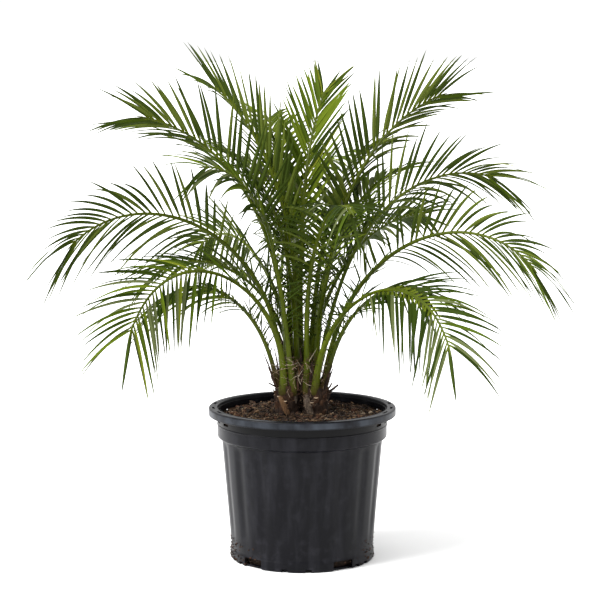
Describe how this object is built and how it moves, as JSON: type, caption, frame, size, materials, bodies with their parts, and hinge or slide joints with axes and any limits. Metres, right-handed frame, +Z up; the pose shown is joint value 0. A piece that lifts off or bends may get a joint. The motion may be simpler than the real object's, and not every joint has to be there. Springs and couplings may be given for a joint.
{
  "type": "potted pygmy date palm",
  "caption": "Young pygmy date palm with arching feathery fronds on short clustered stems, growing in a round black nursery pot.",
  "frame": {"origin": "centre of the flat underside of the pot, on the pot's axis", "axes": "+Z up along the pot's axis; -Y towards the front, the side that the picture shows; +X to the right as seen from the front"},
  "size_m": [0.9695, 1.0243, 0.9757],
  "materials": {
    "pot": "matte black blow-moulded plastic, scuffed",
    "soil": "loose bark and peat potting mix",
    "stem": "fibrous old leaf bases",
    "frond": "living palm leaf, satin green"
  },
  "bodies": {
    "root": {"frond_back_inner": "frond", "frond_back_left_inner": "frond", "frond_back_left_outer": "frond", "frond_back_outer": "frond", "frond_back_right_inner": "frond", "frond_back_right_outer": "frond", "frond_far_left_inner": "frond", "frond_far_left_outer": "frond", "frond_far_right_inner": "frond", "frond_far_right_outer": "frond", "frond_front_left_inner": "frond", "frond_front_left_outer": "frond", "frond_front_right_inner": "frond", "frond_front_right_outer": "frond", "frond_high_back_left": "frond", "frond_high_back_right": "frond", "frond_inner_left_inner": "frond", "frond_inner_left_outer": "frond", "frond_inner_right": "frond", "frond_low_left_inner": "frond", "frond_low_left_outer": "frond", "frond_low_right_inner": "frond", "frond_low_right_outer": "frond", "frond_mid_back_left": "frond", "frond_mid_back_right": "frond", "frond_short_left_inner": "frond", "frond_short_left_outer": "frond", "frond_short_right_inner": "frond", "frond_short_right_outer": "frond", "frond_top_left": "frond", "frond_top_middle": "frond", "frond_top_right": "frond", "frond_upper_left": "frond", "frond_upper_right_inner": "frond", "frond_upper_right_outer": "frond", "pot": "pot", "soil": "soil", "stem_left": "stem", "stem_rear": "stem", "stem_right": "stem"}
  },
  "joints": []
}
